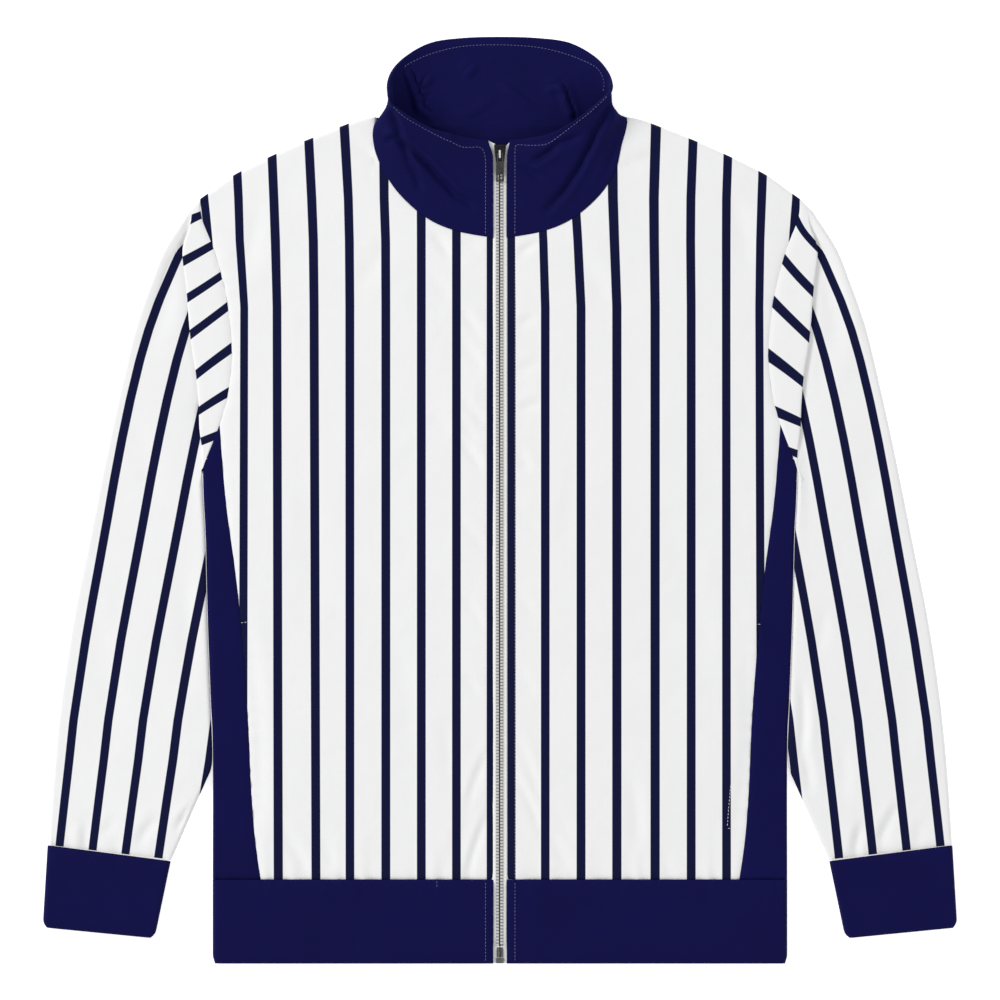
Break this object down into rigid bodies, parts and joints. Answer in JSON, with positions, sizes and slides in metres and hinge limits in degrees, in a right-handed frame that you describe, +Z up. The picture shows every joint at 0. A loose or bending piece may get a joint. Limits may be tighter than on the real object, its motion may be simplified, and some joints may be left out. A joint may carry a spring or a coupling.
{
  "type": "track jacket",
  "caption": "Zip-up track jacket laid flat on its back, with a stand collar, pleated armholes, side panels, cuffs and a hem band.",
  "frame": {"origin": "middle of the outline, at the surface that the jacket lies on", "axes": "+X towards the wearer's left sleeve, +Y towards the collar, +Z up from the surface, out of the fronts"},
  "size_m": [0.7574, 0.7686, 0.0272],
  "materials": {
    "front_left": "white knit",
    "front_right": "white knit",
    "back": "white knit",
    "side_panel_left": "navy knit",
    "side_panel_right": "navy knit",
    "sleeve_left": "white knit",
    "sleeve_right": "white knit",
    "cuff_left": "navy knit",
    "cuff_right": "navy knit",
    "hem_band": "navy knit",
    "collar": "navy knit",
    "neck_facing": "navy knit",
    "zip_tape_left": "woven tape",
    "zip_tape_right": "woven tape",
    "zip_chain": "grey metal",
    "zip_slider": "grey metal",
    "zip_pull": "grey metal",
    "zip_pin": "grey metal",
    "zip_box": "grey metal",
    "pocket_bag_left": "white knit",
    "pocket_bag_right": "white knit"
  },
  "bodies": {
    "jacket": {"front_left": "front_left", "front_right": "front_right", "back": "back", "side_panel_left": "side_panel_left", "side_panel_right": "side_panel_right", "sleeve_left": "sleeve_left", "sleeve_right": "sleeve_right", "cuff_left": "cuff_left", "cuff_right": "cuff_right", "hem_band": "hem_band", "collar": "collar", "neck_facing": "neck_facing", "zip_tape_left": "zip_tape_left", "zip_tape_right": "zip_tape_right", "zip_chain": "zip_chain", "zip_slider": "zip_slider", "zip_pin": "zip_pin", "zip_box": "zip_box", "pocket_bag_left": "pocket_bag_left", "pocket_bag_right": "pocket_bag_right"},
    "pull_tab": {"zip_pull": "zip_pull"}
  },
  "joints": [
    {"name": "pull_hinge", "type": "hinge", "parent": "jacket", "child": "pull_tab", "pos_m": [0, 0.2864, 0.01138], "axis": [-1, 0, 0], "range_deg": [0, 170]}
  ]
}
